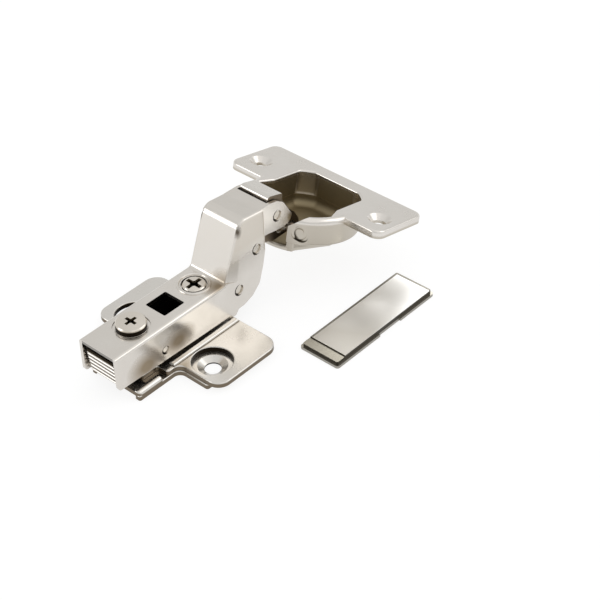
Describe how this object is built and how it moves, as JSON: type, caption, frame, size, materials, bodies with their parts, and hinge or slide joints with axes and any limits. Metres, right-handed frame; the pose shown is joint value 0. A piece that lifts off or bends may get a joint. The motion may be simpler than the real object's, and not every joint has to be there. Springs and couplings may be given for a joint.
{
  "type": "concealed cup hinge",
  "caption": "Concealed cup hinge standing open: cranked clip-on arm on a two-part mounting plate, four-bar links into a flanged round cup, adjusting screws and a loose cover cap.",
  "frame": {"origin": "midway between the two plate screw holes, on the underside of the base plate", "axes": "+X along the arm towards the cup, +Y across the arm along the line of the plate screws, +Z away from the cabinet side"},
  "size_m": [0.1057, 0.0733, 0.0349],
  "materials": {
    "satin_nickel_plate": "satin nickel plate",
    "satin_nickel_arm": "satin nickel plate",
    "satin_nickel_cup": "satin nickel plate",
    "link_steel": "satin nickel plate",
    "carriage_steel": "satin nickel plate",
    "rivet_steel": "satin",
    "rod_steel": "polished",
    "screw_nickel": "bright nickel",
    "cam_zinc": "nickel plated zinc",
    "bright_nickel_lever": "bright nickel plated zinc",
    "mirror_nickel_cap": "mirror nickel with a satin lip",
    "spring_wire": "bright drawn wire",
    "dark_plastic": "matt"
  },
  "bodies": {
    "base": {"base_plate": "satin_nickel_plate", "guide_rivet_front": "rivet_steel", "guide_rivet_rear": "rivet_steel", "cover_cap": "mirror_nickel_cap"},
    "upper_plate": {"wing_plate": "satin_nickel_plate", "clip_carriage": "carriage_steel", "front_axle": "rivet_steel", "lever_pin": "rivet_steel", "lever_spring": "spring_wire"},
    "cam": {"height_cam": "cam_zinc"},
    "lever": {"release_lever": "bright_nickel_lever"},
    "depth_slider": {"tilt_pin": "rivet_steel"},
    "clamp_screw": {"depth_screw": "screw_nickel"},
    "arm": {"hinge_arm": "satin_nickel_arm", "outer_rivet": "rivet_steel", "inner_rivet": "rivet_steel", "damper_rivet": "rivet_steel", "damper_body": "dark_plastic", "closing_spring": "spring_wire"},
    "overlay_screw": {"side_screw": "screw_nickel"},
    "outer_bar": {"outer_link": "link_steel"},
    "inner_bar": {"inner_link": "link_steel"},
    "piston": {"damper_rod": "rod_steel"},
    "cup": {"hinge_cup": "satin_nickel_cup", "outer_cup_pin_near": "rivet_steel", "outer_cup_pin_far": "rivet_steel", "inner_cup_pin": "rivet_steel"}
  },
  "joints": [
    {"name": "height_slide", "type": "slide", "parent": "base", "child": "upper_plate", "axis": [0, 1, 0], "range_m": [-0.0018, 0.0018]},
    {"name": "height_cam_turn", "type": "hinge", "parent": "upper_plate", "child": "cam", "pos_m": [-0.0016, 0, 0.009], "axis": [0, 0, 1], "range_deg": [-62, 62]},
    {"name": "lever_swing", "type": "hinge", "parent": "upper_plate", "child": "lever", "pos_m": [-0.0175, 0, 0.0105], "axis": [0, 1, 0], "range_deg": [0, 7.5], "stiffness_Nm_per_rad": 0.05, "springref_deg": -8.59},
    {"name": "depth_screw_turn", "type": "hinge", "parent": "upper_plate", "child": "clamp_screw", "pos_m": [-0.0148, 0, 0.016], "axis": [0, 0, 1], "range_deg": [0, 360]},
    {"name": "depth_slide", "type": "slide", "parent": "upper_plate", "child": "depth_slider", "axis": [1, 0, 0], "range_m": [-0.003, 0.001]},
    {"name": "side_tilt", "type": "hinge", "parent": "depth_slider", "child": "arm", "pos_m": [-0.0094, 0, 0.0087], "axis": [0, -1, 0], "range_deg": [-0.3, 1.8]},
    {"name": "side_screw_turn", "type": "hinge", "parent": "arm", "child": "overlay_screw", "pos_m": [0.01, 0, 0.016], "axis": [0, 0, 1], "range_deg": [-61, 361]},
    {"name": "outer_link_swing", "type": "hinge", "parent": "arm", "child": "outer_bar", "pos_m": [0.0387, 0, 0.0283], "axis": [0, -1, 0], "range_deg": [-6.6, 0.01]},
    {"name": "inner_link_swing", "type": "hinge", "parent": "arm", "child": "inner_bar", "pos_m": [0.029, 0, 0.022], "axis": [0, -1, 0], "range_deg": [-29.6, 0.01]},
    {"name": "damper_slide", "type": "slide", "parent": "arm", "child": "piston", "axis": [0.8486, 0, 0.5291], "range_m": [-0.0023, 0.00001]},
    {"name": "cup_swing", "type": "hinge", "parent": "outer_bar", "child": "cup", "pos_m": [0.04704, 0, 0.0163], "axis": [0, -1, 0], "range_deg": [0, 109.15]}
  ],
  "couplings": [
    {"joint": "height_cam_turn", "follows": "height_slide", "rad_per_m": -484.81},
    {"joint": "side_screw_turn", "follows": "side_tilt", "ratio": 200},
    {"joint": "outer_link_swing", "follows": "cup_swing", "ratio": -0.056344},
    {"joint": "inner_link_swing", "follows": "cup_swing", "ratio": -0.25479},
    {"joint": "damper_slide", "follows": "cup_swing", "m_per_rad": -0.0011391}
  ]
}
